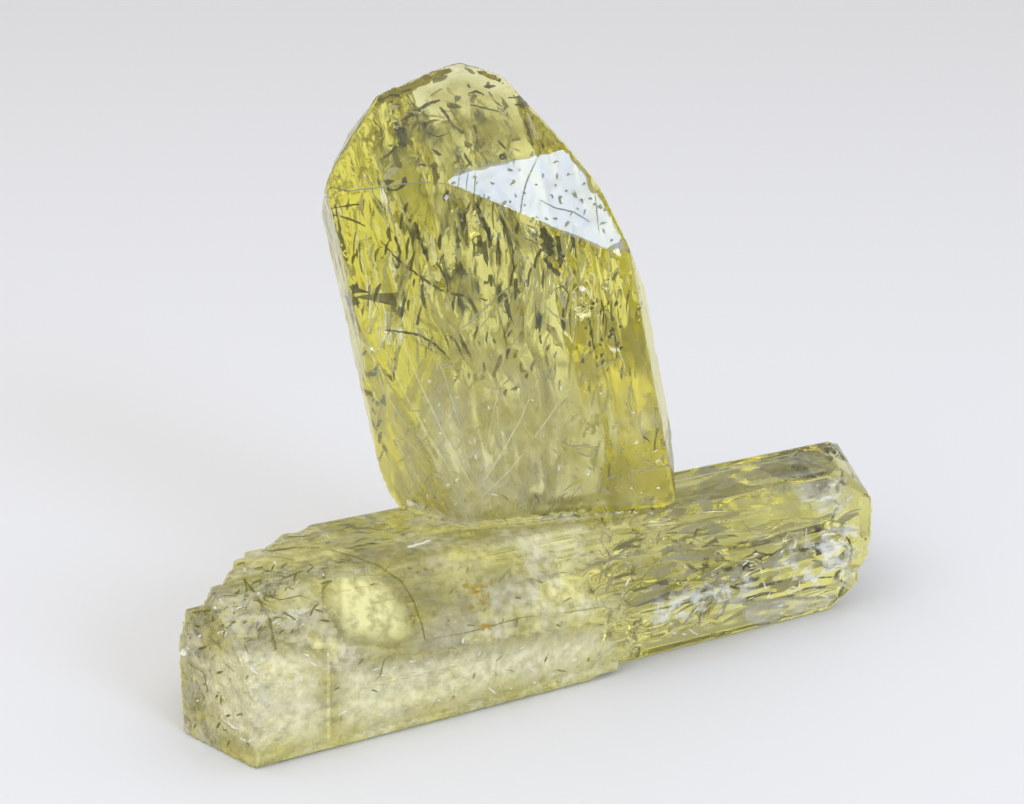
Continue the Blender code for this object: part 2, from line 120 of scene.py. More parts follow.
# Flaws placed one by one, by kind: depth and half width in millimetres, then x and y of each point they run
# through in the photo's frame
FLAWS = {
    "dark": (
        (0.5, 0.17, 398, 127, 402, 138, 404, 147), (0.6, 0.05, 397, 146, 388, 155, 380, 160),
        (0.5, 0.08, 403, 120, 415, 112, 428, 104, 440, 100), (0.7, 0.09, 440, 107, 448, 118, 455, 130),
        (0.4, 0.06, 468, 94, 476, 91, 484, 95), (0.5, 0.06, 508, 98, 516, 97, 524, 102),
        (0.6, 0.05, 470, 105, 485, 108, 500, 112), (0.8, 0.05, 385, 184, 395, 181, 408, 184),
        (0.6, 0.08, 524, 118, 529, 132, 533, 146), (0.5, 0.05, 425, 131, 437, 137, 449, 133),
        (0.7, 0.04, 372, 118, 380, 128, 383, 141), (0.5, 0.24, 542, 228, 548, 240, 550, 256),
        (0.7, 0.18, 556, 236, 562, 248, 560, 268), (0.4, 0.14, 544, 258, 552, 268, 560, 276),
        (0.6, 0.04, 554, 290, 562, 286, 569, 294, 566, 311),
        (0.9, 0.05, 380, 240, 400, 262, 440, 290, 490, 300),
        (0.4, 0.05, 385, 330, 402, 332, 420, 335, 437, 346, 450, 360),
        (0.3, 0.05, 333, 208, 347, 206, 360, 204), (0.4, 0.05, 340, 216, 352, 220, 365, 226),
        (0.3, 0.03, 331, 205, 337, 230, 345, 280, 352, 310), (0.5, 0.08, 395, 236, 400, 252, 398, 268),
        (0.8, 0.09, 415, 222, 420, 240, 428, 262), (0.5, 0.07, 478, 205, 484, 224, 492, 246),
        (1.1, 0.1, 452, 215, 458, 238, 460, 260), (0.7, 0.06, 506, 228, 512, 248, 514, 272),
        (1.3, 0.09, 436, 262, 446, 280, 450, 300), (0.3, 0.05, 601, 300, 604, 312, 603, 325),
        (0.4, 0.04, 588, 318, 592, 332, 595, 350), (0.3, 0.04, 614, 330, 616, 343, 617, 358),
        (0.2, 0.04, 640, 432, 645, 438, 650, 442), (0.2, 0.04, 402, 508, 425, 516, 450, 521, 468, 526),
        (0.2, 0.04, 500, 526, 530, 523, 560, 518, 600, 513), (0.15, 0.06, 300, 512, 330, 516, 352, 513),
        (0.15, 0.05, 330, 524, 362, 528, 398, 530),
        (0.5, 0.05, 730, 586, 752, 589, 775, 583, 800, 579, 835, 577),
        (0.7, 0.04, 640, 614, 668, 607, 700, 600, 722, 592),
        (0.4, 0.06, 742, 560, 756, 552, 770, 556, 783, 548), (0.4, 0.06, 800, 552, 812, 548, 828, 552),
        (0.4, 0.05, 846, 536, 852, 548, 850, 562),
    ),
    "pale": (
        (0.5, 0.06, 527, 112, 532, 124, 536, 138), (0.9, 0.16, 385, 180, 391, 172, 399, 166),
        (0.7, 0.13, 561, 291, 563, 300, 565, 309), (0.5, 0.04, 540, 300, 553, 314, 570, 322, 582, 318),
        (0.6, 0.07, 530, 262, 536, 276, 534, 292), (0.6, 0.04, 520, 280, 495, 300, 470, 322, 450, 340),
        (0.6, 0.05, 388, 205, 391, 215, 394, 226), (0.3, 0.06, 562, 441, 570, 446, 584, 445, 598, 449),
        (0.3, 0.05, 577, 452, 588, 456, 597, 455), (0.3, 0.05, 485, 386, 494, 389, 505, 388),
        (0.2, 0.04, 626, 402, 630, 410, 632, 418), (0.2, 0.05, 640, 425, 643, 436, 645, 444),
        (0.2, 0.04, 633, 448, 640, 456, 650, 462), (0.2, 0.07, 600, 468, 604, 471),
        (0.3, 0.03, 452, 487, 461, 500, 467, 510, 470, 525), (0.3, 0.03, 481, 490, 477, 500, 472, 510),
        (0.5, 0.05, 338, 556, 362, 564, 388, 578, 404, 598, 411, 620),
        (0.4, 0.22, 212, 594, 228, 590, 242, 590), (0.3, 0.1, 742, 605, 770, 600, 805, 598, 838, 597),
        (0.5, 0.14, 765, 566, 778, 556, 790, 540, 803, 533),
        (0.4, 0.12, 812, 560, 826, 566, 842, 560, 856, 548), (0.5, 0.09, 700, 578, 720, 570, 742, 568),
        (0.2, 0.03, 683, 535, 700, 541, 720, 550), (0.2, 0.03, 742, 520, 746, 526, 750, 532),
        (0.3, 0.04, 600, 540, 610, 556, 606, 574, 616, 590), (0.2, 0.1, 632, 636, 638, 640),
        (0.2, 0.05, 460, 664, 480, 660, 500, 655), (0.2, 0.04, 467, 702, 480, 698),
        (0.5, 0.04, 478, 330, 492, 312, 508, 296, 524, 280),
    ),
    "grey": (
        (0.2, 0.2, 361, 388, 367, 393, 374, 399), (0.2, 0.12, 362, 402, 370, 415, 377, 431),
    ),
    "line": (
        (-0.02, 0.05, 245, 580, 254, 592, 262, 605, 270, 620, 276, 650),
        (-0.02, 0.04, 330, 550, 352, 556, 378, 566, 400, 580, 414, 602, 421, 622, 425, 640),
        (-0.02, 0.05, 233, 557, 262, 552, 290, 549, 320, 548),
        (-0.02, 0.04, 283, 538, 300, 537, 320, 536), (-0.02, 0.06, 229, 567, 237, 565, 245, 563),
        (-0.02, 0.05, 279, 581, 291, 576, 303, 571), (-0.02, 0.04, 320, 584, 332, 581),
        (-0.02, 0.05, 192, 613, 204, 611, 215, 610),
        (-0.02, 0.04, 205, 592, 225, 584, 245, 578, 247, 590, 244, 600),
        (-0.02, 0.03, 196, 604, 214, 598, 232, 596, 246, 600),
        (-0.02, 0.025, 186, 622, 200, 626, 214, 620, 230, 622),
        (-0.02, 0.025, 214, 566, 240, 574, 262, 570, 286, 574, 306, 566),
        (-0.02, 0.022, 250, 548, 270, 556, 292, 560, 318, 556),
        (-0.02, 0.022, 262, 594, 280, 600, 300, 596, 318, 602),
        (-0.02, 0.02, 208, 636, 222, 648, 226, 664, 238, 676),
        (-0.02, 0.02, 190, 664, 204, 672, 208, 690, 200, 706),
        (-0.02, 0.018, 426, 640, 470, 632, 520, 618, 570, 612, 606, 606),
        (-0.02, 0.018, 360, 690, 380, 676, 384, 660, 398, 650),
    ),
    "white": (
        # The first white stroke is a painted highlight on an edge, the second a white chip, and the last
        # three are painted glints
        (-0.02, 0.1, 408, 548, 420, 544, 431, 541), (-0.02, 0.14, 179, 643, 183, 649, 187, 655),
        (-0.02, 0.05, 228, 722, 236, 728, 243, 726), (-0.02, 0.05, 240, 738, 248, 741, 255, 738),
        (-0.02, 0.06, 250, 667, 254, 671, 258, 674),
    ),
    "mark": (
        # The first of these is painted shade: a dark line along an edge, standing for its shadow; the rest
        # are marks on the mirror face
        (-0.012, 0.037, 324, 198, 350, 191, 375, 188, 405, 184, 430, 182, 445, 184),
        (-0.012, 0.034, 541, 150, 534, 165, 527, 180, 523, 197, 520, 214),
        (-0.012, 0.031, 592, 176, 595, 195, 597, 214, 599, 232),
        (-0.012, 0.102, 593, 178, 597, 184, 600, 190), (-0.012, 0.027, 461, 170, 459, 180, 458, 189),
        (-0.012, 0.024, 469, 168, 467, 180, 466, 192), (-0.012, 0.024, 476, 166, 475, 180, 474, 194),
        (-0.012, 0.027, 540, 200, 556, 208, 574, 212, 590, 222),
    ),
    "wisp": (
        (-0.02, 0.03, 385, 350, 402, 388, 425, 430, 470, 503),
        (-0.02, 0.03, 376, 378, 402, 418, 432, 456, 466, 500),
        (-0.02, 0.03, 402, 340, 420, 384, 442, 430, 474, 490),
        (-0.02, 0.03, 390, 420, 418, 452, 450, 488),
        (-0.02, 0.03, 560, 400, 540, 430, 510, 470, 482, 497),
        (-0.02, 0.03, 540, 375, 520, 420, 500, 456, 478, 490),
        (-0.02, 0.03, 430, 340, 446, 380, 458, 420, 470, 470),
        (-0.02, 0.03, 505, 350, 498, 390, 490, 430, 480, 472),
    ),
    "brown": (
        (-0.02, 0.09, 471, 588, 476, 592), (-0.02, 0.1, 480, 600, 485, 605),
        (-0.02, 0.07, 478, 584, 484, 587), (-0.02, 0.06, 488, 592, 489, 598),
        (-0.02, 0.06, 471, 604, 474, 608), (-0.02, 0.05, 478, 626, 487, 627),
    ),
    "stain": (
        (0.3, 0.16, 662, 556, 672, 548, 686, 540), (0.3, 0.12, 441, 602, 445, 610, 448, 619),
    ),
}

# What each kind is like: colour, how much it covers, how much light it passes, and for films the low end,
# high end and scale of the noise that breaks them up
FLAW_KINDS = {
    "dark": ((0.11, 0.115, 0.025), 0.88, 0.3),
    "olive": ((0.3, 0.28, 0.04), 0.85, 0.5),
    # Bright yellow flakes: painted glints
    "yellow": ((0.97, 0.93, 0.48), 0.95, 0.6),
    "pale": ((0.97, 0.97, 0.9), 0.95, 0.6),
    "grey": ((0.3, 0.31, 0.28), 0.8, 0.3),
    "brown": ((0.55, 0.36, 0.08), 0.62, 0.1),
    "stain": ((0.42, 0.33, 0.06), 0.6, 0.4),
    # Grey film: painted shade
    "dusk": ((0.34, 0.35, 0.33), 0.7, 0.1, (0.1, 0.6, 1500)),
    # Bluish-white film: painted reflection
    "haze": ((0.86, 0.88, 0.9), 0.65, 0.1, (0.1, 0.7, 1500)),
    "broken": ((0.98, 0.98, 0.93), 0.62, 0.1, (0.44, 0.6, 1900)),
    # Bright yellow film: painted glow of light shining through the crystal
    "glow": ((1.0, 0.96, 0.46), 0.84, 0.12, (0.2, 0.58, 2200)),
    "milk": ((0.99, 0.95, 0.62), 0.8, 0.1, (0.08, 0.66, 3000)),
    "line": ((0.2, 0.19, 0.05), 0.8, 0.1),
    "wisp": ((0.98, 0.96, 0.72), 0.35, 0.1),
    # Pale film over the mirror face: painted reflection of the front light
    "gloss": ((0.8, 0.82, 0.8), 0.8, 0.1, (0.1, 0.6, 1500)),
    "tint": ((0.84, 0.77, 0.1), 0.75, 0.6, (0.1, 0.7, 1500)),
    # White flakes and a chip, together with painted highlights and glints
    "white": ((0.99, 0.98, 0.88), 0.72, 0.08),
    # Dark marks on the mirror face, and painted shade along an edge
    "mark": ((0.3, 0.32, 0.24), 0.85, 0.2),
}

# Films over parts of faces, by kind: depth in millimetres, then x and y of each corner of their outline in
# the photo's frame
PATCHES = {
    # Pale film under the mirror face: painted reflection, brightening the face where it reflects the front
    # light
    "gloss": (
        (0.06, 446, 183, 455, 169, 500, 159, 566, 147, 584, 166, 612, 212, 634, 256, 600, 251, 560, 235,
         520, 215, 470, 196),
    ),
    # Grey film on the top face of the lying crystal's right end, above its top edge: painted shade
    "dusk": (
        (-0.012, 745, 463, 783, 484, 845, 472, 828, 452, 812, 447, 780, 452),
    ),
    # Bluish-white films on the right end of the lying crystal, below its top edge and along its lower band:
    # painted reflection
    "haze": (
        (-0.012, 783, 484, 845, 472, 858, 497, 840, 520, 815, 515, 795, 500),
        (-0.012, 740, 606, 760, 597, 840, 592, 842, 604, 828, 614, 760, 628, 742, 622),
    ),
    "broken": (
        (-0.018, 764, 570, 786, 540, 812, 528, 852, 512, 868, 530, 864, 576, 842, 604, 800, 600,
         770, 596),
        (-0.018, 634, 600, 668, 584, 724, 566, 764, 560, 760, 600, 700, 628, 650, 640),
    ),
    "tint": (
        (1.7, 404, 84, 463, 63, 510, 84, 560, 137, 540, 150, 480, 156, 430, 130),
        (0.5, 560, 340, 604, 340, 648, 480, 650, 530, 585, 545, 556, 520, 548, 430),
    ),
    # Bright yellow films on the lying crystal: painted glow where light shines through it
    "glow": (
        (-0.016, 322, 566, 345, 556, 385, 570, 408, 596, 420, 636, 396, 650, 344, 646, 322, 610),
        (0.15, 385, 704, 432, 694, 438, 710, 428, 722, 390, 728),
        (0.4, 722, 474, 770, 466, 804, 486, 826, 520, 800, 536, 776, 520, 740, 500),
    ),
    "milk": (
        (-0.016, 200, 640, 260, 634, 330, 650, 330, 744, 262, 758, 206, 742, 192, 690),
        (-0.016, 330, 660, 420, 650, 600, 620, 622, 640, 620, 662, 440, 716, 330, 742),
    ),
}

# Grid step of the films, and how wide their edges fade, in pixels of the photo's frame
PATCH_STEP = 3.0
PATCH_FADE = {"dusk": 4.0, "haze": 5.0, "gloss": 6.0}
WIDE_FADE = 22.0

# Small flakes scattered in parts of the photo's frame, by kind: box, how many, depth in millimetres, half
# length and half width in pixels, the way they point in degrees and how far they stray from it
FLECKS = {
    "dark": (
        ((382, 88, 520, 182), 26, (0.3, 2.2), (3, 10), (0.8, 2.4), 60, 90),
        ((350, 196, 590, 330), 64, (0.4, 2.4), (5, 16), (0.8, 2.4), 86, 16),
        ((365, 330, 600, 420), 20, (0.4, 2.0), (3, 9), (0.8, 1.8), 80, 30),
        ((582, 296, 622, 372), 34, (0.2, 0.8), (1.2, 3.5), (0.9, 2.0), 84, 20),
        ((385, 496, 660, 525), 20, (0.2, 1.0), (2, 7), (0.6, 1.4), 20, 90),
        ((178, 560, 300, 735), 70, (0.1, 0.8), (3, 9), (0.8, 2.2), 20, 60),
        ((300, 515, 420, 560), 36, (0.1, 0.6), (4, 12), (0.6, 1.4), 8, 16),
        ((450, 70, 530, 110), 6, (0.2, 1.2), (3, 8), (0.8, 2.4), 150, 50),
        ((700, 570, 846, 598), 10, (0.3, 1.2), (8, 24), (0.6, 1.6), 14, 10),
    ),
    # Yellow flakes: painted glints, bright yellow flashes of light set into the crystal
    "yellow": (
        ((372, 90, 540, 186), 26, (0.2, 1.6), (4, 12), (1.0, 3.0), 40, 90),
        ((350, 196, 590, 330), 80, (0.2, 1.8), (5, 18), (0.8, 2.4), 86, 16),
        ((365, 330, 600, 460), 60, (0.3, 1.6), (4, 16), (0.8, 2.0), 80, 40),
        ((300, 560, 440, 690), 40, (0.1, 1.0), (4, 14), (1.0, 3.0), 25, 50),
        ((590, 262, 668, 500), 30, (0.2, 1.2), (5, 18), (0.8, 1.8), 84, 12),
        ((640, 462, 850, 620), 26, (0.1, 1.2), (8, 30), (1.5, 4.5), 15, 10),
    ),
    "olive": (
        ((372, 90, 540, 186), 8, (0.3, 2.0), (4, 14), (1.2, 4.5), 60, 90),
        ((345, 196, 600, 380), 24, (0.4, 2.4), (5, 16), (0.8, 2.4), 86, 16),
        ((174, 600, 215, 750), 40, (0.1, 0.6), (3, 8), (1.2, 3.2), 70, 50),
        ((420, 560, 620, 660), 40, (0.2, 1.2), (3, 10), (0.8, 2.2), 15, 70),
        ((655, 528, 735, 570), 14, (0.2, 0.8), (3, 10), (0.8, 2.4), 20, 50),
        ((440, 62, 530, 110), 10, (0.2, 1.2), (3, 9), (1.2, 3.4), 150, 50),
        ((300, 190, 372, 330), 12, (0.2, 1.0), (5, 15), (0.8, 1.6), 82, 12),
        ((620, 540, 850, 606), 16, (0.3, 1.6), (8, 26), (0.8, 2.0), 14, 12),
        ((590, 262, 668, 500), 16, (0.2, 1.2), (5, 18), (0.8, 1.6), 84, 12),
    ),
    "pale": (
        ((370, 360, 640, 500), 90, (0.1, 0.9), (2, 12), (0.5, 1.4), 30, 90),
        ((560, 395, 672, 475), 34, (0.1, 0.4), (1, 3), (0.6, 1.6), 30, 90),
        ((385, 470, 660, 525), 40, (0.1, 0.6), (3, 11), (0.5, 1.1), 30, 90),
        ((178, 560, 300, 735), 60, (0.1, 0.6), (2, 8), (0.8, 2.4), 20, 90),
        ((250, 630, 640, 740), 110, (0.05, 0.7), (3, 12), (0.6, 2.0), 15, 50),
        ((600, 500, 760, 640), 50, (0.1, 1.0), (3, 12), (0.7, 2.2), 20, 60),
        ((650, 466, 850, 600), 40, (0.1, 1.0), (6, 22), (1.2, 4.0), 15, 12),
    ),
    "grey": (
        ((352, 340, 385, 470), 20, (0.1, 0.4), (2, 7), (1.0, 3.0), 80, 40),
    ),
    "brown": (
        ((464, 582, 492, 612), 12, (-0.024, -0.02), (1.5, 4), (1.0, 2.2), 20, 90),
        ((474, 622, 490, 630), 4, (-0.024, -0.02), (1.5, 4), (1.0, 2.2), 0, 20),
    ),
    "white": (
        ((750, 520, 866, 612), 18, (-0.02, -0.015), (2, 8), (0.5, 1.4), 40, 80),
        ((620, 560, 760, 660), 16, (-0.02, -0.015), (2, 8), (0.5, 1.2), 20, 50),
        ((178, 560, 330, 735), 36, (-0.022, -0.016), (1.2, 4.5), (0.6, 1.4), 20, 90),
        ((330, 640, 640, 740), 40, (-0.022, -0.016), (1.2, 5), (0.5, 1.1), 15, 60),
        ((420, 380, 662, 505), 34, (-0.022, -0.016), (1.0, 3.5), (0.5, 1.1), 50, 90),
    ),
    "line": (
        ((180, 560, 330, 640), 46, (-0.022, -0.018), (2, 8), (0.5, 1.3), 20, 60),
        ((176, 610, 250, 750), 40, (-0.022, -0.018), (1.5, 6), (0.5, 1.3), 60, 60),
        ((330, 560, 620, 700), 40, (-0.022, -0.018), (1.5, 6), (0.4, 1.0), 15, 60),
    ),
    "mark": (
        ((446, 146, 634, 258), 130, (-0.014, -0.01), (1.2, 4.0), (0.8, 1.7), 70, 90),
    ),
}

# Depths of the growth lines, etching and pits worked into the surface, in millimetres
LINE_DEPTH = 0.008
BACK_ETCHING = 0.085
BACK_GROOVES = 0.035
FOOT_ETCHING = 0.02
FINE_ETCHING = 0.016
FLAKE_DEPTH = 0.012
HIDDEN_FLAKES = 0.05
HIDDEN_LINES = 0.02
END_FLAKES = 0.04
END_PITS = 0.22
CLEAR_FLAKES = 0.03

# Rows and columns of the grids of cracks and sheets, and corners of a flake
CRACK_GRID = (6, 12)
VEIL_GRID = (20, 28)
FLECK_CORNERS = 9

# Seeds of the random draws
SEEDS = {"cracks": 7, "veils": 19, "flaws": 5, "flecks": 31}

# Refraction and depth of colour of the mineral
IOR = 1.61
DEPTH_COLOUR = (0.972, 0.948, 0.29, 1.0)
DEPTH_DENSITY = 260.0
WHITE = (1.0, 1.0, 1.0, 1.0)

# Lamps that look back at the specimen: name, direction from it, size, energy, colour
LAMPS = (
    ("front_light", (0.57, -0.71, 0.42), 0.11, 0.31, (0.62, 0.73, 1.0)),
    ("fill_light", (-0.5, -0.6, 0.62), 0.25, 0.19, (1.0, 0.96, 0.88)),
)
LAMP_DISTANCE = 0.3

# The photograph's frame and camera
PHOTO_SIZE = (1024, 804)
CAMERA_AT = (-0.001262, -0.058527, 0.0272)
CAMERA_PITCH = 73.0
LENS = 60.0
SENSOR_WIDTH = 36.0


def lying_to_world():
    """Matrix from the lying crystal's millimetres to the part's metres."""
    return Matrix.Scale(MM, 4) @ Matrix.Translation(-MIDDLE) @ Matrix.Rotation(LYING_TURN, 4, "Z")


def facing(azimuth, tilt):
    """Unit vector in the lying frame for a world azimuth and a tilt from upright, in degrees."""
    a = math.radians(azimuth) - LYING_TURN
    t = math.radians(tilt)
    return Vector((math.sin(t) * math.cos(a), math.sin(t) * math.sin(a), math.cos(t)))


def standing_axes():
    """The standing crystal's axis, its way across the front and its way out of the front."""
    left = -math.tan(math.radians(LEAN_LEFT))
    back = math.tan(math.radians(LEAN_BACK))
    axis = (Matrix.Rotation(-LYING_TURN, 3, "Z") @ Vector((left, back, 1.0))).normalized()
    front = facing(FRONT_AZIMUTH + 90.0, 90.0).cross(axis).normalized()
    return axis, axis.cross(front).normalized(), front


# Noise

def lattice(cell, seed):
    """Repeatable number from 0 to 1 for each whole-numbered lattice point."""
    n = cell[:, 0] * 73856093 ^ cell[:, 1] * 19349663 ^ cell[:, 2] * 83492791 ^ seed * 2654435761
    n = (n ^ (n >> 15)) * 2246822519 & 0xFFFFFFFF
    n = (n ^ (n >> 13)) * 3266489917 & 0xFFFFFFFF
    return (n >> 8 & 0xFFFF) / 65535.0


def noise(points, seed):
    """Smooth noise from -1 to 1."""
    base = np.floor(points).astype(np.int64)
    part = points - base
    part = part * part * (3.0 - 2.0 * part)
    total = np.zeros(len(points))
    for corner in range(8):
        step = np.array([corner & 1, corner >> 1 & 1, corner >> 2 & 1])
        weight = np.prod(np.where(step, part, 1.0 - part), axis=1)
        total += weight * lattice(base + step, seed)
    return total * 2.0 - 1.0


def fractal(points, seed, octaves=3):
    """Noise summed over finer and finer scales."""
    total = np.zeros(len(points))
    for octave in range(octaves):
        total += noise(points * 2.03**octave, seed + octave) * 0.5**octave
    return total


def cells(points, seed):
    """Distance to the nearest point of a jittered lattice."""
    base = np.floor(points).astype(np.int64)
    nearest = np.full(len(points), 9.0)
    for number in range(27):
        cell = base + np.array([number % 3 - 1, number // 3 % 3 - 1, number // 9 - 1])
        place = cell + np.stack([lattice(cell, seed + i) for i in range(3)], axis=1)
        nearest = np.minimum(nearest, np.linalg.norm(place - points, axis=1))
    return nearest


def smooth(low, high, values):
    """0 below low, 1 above high, and a smooth rise between."""
    share = np.clip((values - low) / (high - low), 0.0, 1.0)
    return share * share * (3.0 - 2.0 * share)


# The crystal surface

def link(made):
    """Put an object into the scene."""
    bpy.context.scene.collection.objects.link(made)
    return made


def mesh_of(name, bm):
    """Mesh of a bmesh, which is freed."""
    mesh = bpy.data.meshes.new(name)
    bm.to_mesh(mesh)
    bm.free()
    return mesh


def finish(name, mesh, material):
    """Piece of one material that rides on the part, its mesh in metres."""
    mesh.materials.clear()
    mesh.materials.append(material)
    made = link(bpy.data.objects.new(name, mesh))
    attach(made, "root")
    return made


def fade_layer(bm):
    """A bmesh's layer for how strongly each vertex covers."""
    layers = bm.verts.layers.float
    return layers.get("fade") or layers.new("fade")


def read_points(mesh):
    """Vertex places and normals as arrays."""
    places = np.empty(len(mesh.vertices) * 3)
    normals = np.empty(len(mesh.vertices) * 3)
    mesh.vertices.foreach_get("co", places)
    mesh.vertices.foreach_get("normal", normals)
    return places.reshape(-1, 3), normals.reshape(-1, 3)


def fine_copy(node):
    """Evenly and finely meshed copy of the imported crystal, in the lying frame's millimetres."""
    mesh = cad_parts[node].data.copy()
    mesh.transform(lying_to_world().inverted())
    bm = bmesh.new()
    bm.from_mesh(mesh)
    bmesh.ops.remove_doubles(bm, verts=bm.verts, dist=1e-4)
    bm.to_mesh(mesh)
    bm.free()
    rough = link(bpy.data.objects.new("fine", mesh))
    remesh = rough.modifiers.new("fine", "REMESH")
    remesh.mode = "VOXEL"
    remesh.voxel_size = VOXEL
    bpy.context.view_layer.update()
    evaluated = rough.evaluated_get(bpy.context.evaluated_depsgraph_get())
    fine = bpy.data.meshes.new_from_object(evaluated)
    bpy.data.objects.remove(rough)
    return fine


def standing_relief(places, normals):
    """Grooves and etching of the standing crystal, strongest behind, in millimetres out of the surface."""
    axis, across, front = [np.array(v) for v in standing_axes()]
    mirror = np.array(facing(*MIRROR_FACE))
    local = np.stack([places @ across, places @ axis, places @ front], axis=1)
    grooves = fractal(local * [1.9, 0.16, 1.9], 11, 4)
    etched = np.clip(0.6 - cells(local * [2.1, 0.75, 2.1] + 0.35 * grooves[:, None], 23), 0.0, 1.0)
    patchy = smooth(-0.25, 0.35, fractal(local * 0.38, 27, 2))
    from_front = normals @ front
    behind = smooth(0.45, -0.1, from_front)
    on_front = smooth(0.9, 0.98, from_front)
    on_mirror = smooth(0.97, 0.995, normals @ mirror)
    high = smooth(8.0, 11.5, places[:, 2])
    fine_near = cells(local * [3.4, 1.3, 3.4] + 0.5 * grooves[:, None], 29)
    fine_etched = np.clip(0.6 - fine_near, 0.0, 1.0)
    out = LINE_DEPTH * grooves
    out -= behind * high * (BACK_ETCHING * etched * (0.55 + 0.45 * patchy) + BACK_GROOVES * grooves)
    out -= behind * (1.0 - high) * FOOT_ETCHING * etched
    out -= (on_front + behind) * FINE_ETCHING * fine_etched * (0.3 + 0.7 * patchy)
    return out * (1.0 - on_mirror)


def lying_relief(places, normals):
    """Growth lines, flakes and pits of the lying crystal, strongest at its left end and on hidden faces."""
    lines = fractal(places * [0.14, 1.9, 1.9], 31, 4)
    near = cells(places * [0.8, 2.0, 2.0] + 0.35 * lines[:, None], 37)
    flakes = np.clip(0.6 - near, 0.0, 1.0)
    hidden = smooth(0.2, -0.3, -normals[:, 1] * 0.8 + normals[:, 2] * 0.6)
    left_end = smooth(2.5, 0.0, places[:, 0])
    clear_right = smooth(13.2, 14.2, places[:, 0])
    pits = np.clip(0.62 - cells(places * 1.5 + 0.4 * lines[:, None], 41), 0.0, 1.0)
    out = LINE_DEPTH * lines - FLAKE_DEPTH * flakes * smooth(0.0, 0.4, lines)
    out -= hidden * (HIDDEN_FLAKES * flakes + HIDDEN_LINES * lines)
    out -= left_end * (END_FLAKES * flakes + END_PITS * pits)
    out -= clear_right * CLEAR_FLAKES * flakes * smooth(-0.2, 0.3, lines)
    return out * smooth(0.05, 0.35, places[:, 2])


def relief(places, normals):
    """How far each point of the surface moves out, in millimetres."""
    standing = smooth(LYING_TOP + 0.15, LYING_TOP + 0.5, places[:, 2])
    return standing * standing_relief(places, normals) + (1.0 - standing) * lying_relief(places, normals)


def crystal_surface():
    """The specimen's surface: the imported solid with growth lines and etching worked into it."""
    mesh = fine_copy(NODE)
    places, normals = read_points(mesh)
    moved = places + normals * relief(places, normals)[:, None]
    mesh.vertices.foreach_set("co", moved.ravel())
    layer = mesh.attributes.new("milky", "FLOAT", "POINT")
    layer.data.foreach_set("value", milkiness(places))
    mesh.transform(lying_to_world())
    mesh.shade_smooth()
    mesh.update()
    made = finish("crystal_surface", mesh, crystal_material())
    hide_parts(NODE)
    return made


def frost(surface):
    """Cloudy film where the crystals are milky: the surface again, a hair further out, in patches."""
    places, normals = read_points(surface.data)
    inverse = np.array(lying_to_world().inverted())
    cover = frostiness(places @ inverse[:3, :3].T + inverse[:3, 3])
    bm = bmesh.new()
    bm.from_mesh(surface.data)
    fade = fade_layer(bm)
    bm.verts.ensure_lookup_table()
    for vert, value, normal in zip(bm.verts, cover, normals):
        vert[fade] = value
        vert.co += Vector(normal) * (FROST_OUT * MM)
    bare = [vert for vert, value in zip(bm.verts, cover) if value < 0.03]
    bmesh.ops.delete(bm, geom=bare, context="VERTS")
    mesh = mesh_of("frost", bm)
    mesh.shade_smooth()
    finish("frost", mesh, frost_material())


def frostiness(places):
    """How much the film covers at each point, 0 to 1, less in the window."""
    height = places[:, 2]
    wander = fractal(places * 0.42, 61, 3)
    standing = smooth(LYING_TOP + 0.1, LYING_TOP + 0.5, height)
    low = smooth(12.5, 8.0, height + 1.6 * wander) * smooth(-0.5, 0.5, wander + 0.2)
    left_part = smooth(14.4, 12.4, places[:, 0] + 0.6 * wander)
    window = smooth(2.3, 1.2, np.hypot((places[:, 0] - WINDOW[0]) / 1.4, places[:, 2] - WINDOW[1]))
    upper = smooth(4.4, 3.4, height + 0.6 * wander)
    lying = left_part * (0.62 + 0.26 * upper) * (1.0 - 0.45 * window) + (1.0 - left_part) * 0.14
    return standing * low * 0.42 + (1.0 - standing) * lying


def milkiness(places):
    """How milky the crystal is at each point, about 0 to 1."""
    height = places[:, 2]
    standing = smooth(LYING_TOP + 0.1, LYING_TOP + 0.5, height)
    wander = fractal(places * 0.45, 51, 3)
    low = smooth(13.5, 8.5, height + 1.2 * wander)
    left_part = smooth(14.2, 12.6, places[:, 0] + 0.5 * wander)
    return standing * low * 0.9 + (1.0 - standing) * left_part * (0.55 + 0.45 * wander)


# Materials

def set_inputs(node, values):
    """Set a node's own inputs, by name or number."""
    for name, value in values.items():
        node.inputs[name].default_value = value


def add_node(tree, kind, values):
    """New node with its own inputs set."""
    node = tree.nodes.new(kind)
    set_inputs(node, values)
    return node


def new_material(name, values):
    """Material with its node tree and its Principled shader, that shader's values set."""
    made = bpy.data.materials.new(name)
    made.use_nodes = True
    made.use_transparent_shadow = False
    shader = made.node_tree.nodes["Principled BSDF"]
    set_inputs(shader, values)
    return made, made.node_tree, shader


def crystal_material():
    """Clear yellow-green mineral, absorbing with depth, polished on clear faces and softer where milky."""
    values = {"Base Color": WHITE, "IOR": IOR, "Transmission Weight": 1.0}
    made, tree, shader = new_material("brazilianite", values)
    milky = tree.nodes.new("ShaderNodeAttribute")
    milky.attribute_name = "milky"
    soften = add_node(tree, "ShaderNodeMapRange", {"From Max": 1.0, "To Min": 0.03, "To Max": 0.20})
    tree.links.new(milky.outputs["Fac"], soften.inputs["Value"])
    tree.links.new(soften.outputs["Result"], shader.inputs["Roughness"])
    depth = add_node(tree, "ShaderNodeVolumeAbsorption", {"Color": DEPTH_COLOUR, "Density": DEPTH_DENSITY})
    tree.links.new(depth.outputs["Volume"], tree.nodes["Material Output"].inputs["Volume"])
    return made


def gap_material():
    """Wall of an air gap inside the crystal: the shell's normals look into the gap."""
    values = {"Base Color": WHITE, "IOR": IOR, "Roughness": 0.02, "Transmission Weight": 1.0}
    return new_material("crack_walls", values)[0]


